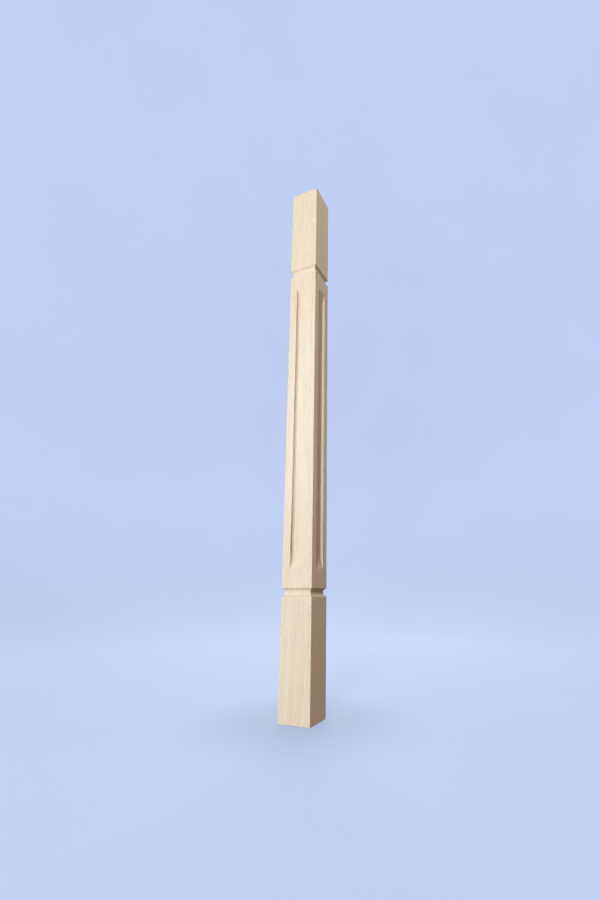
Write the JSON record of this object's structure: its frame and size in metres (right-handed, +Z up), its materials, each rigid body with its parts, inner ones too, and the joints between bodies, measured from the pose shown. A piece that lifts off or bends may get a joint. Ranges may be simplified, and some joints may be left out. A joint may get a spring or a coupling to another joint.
{
  "type": "baluster",
  "caption": "Square oak baluster for a stair or landing railing, with a cove groove beside each end block and a long flat-bottomed flute on each face.",
  "frame": {"origin": "centre of the bottom end, on the floor or tread that the baluster stands on", "axes": "+Z up along the baluster's length, X and Y square to its faces, with the face seen on the left of the picture towards -Y and the face on the right towards +X"},
  "size_m": [0.05, 0.05, 0.9],
  "materials": {
    "oak": "bare pale oak, sanded smooth, matte"
  },
  "bodies": {
    "root": {"baluster": "oak"}
  },
  "joints": []
}
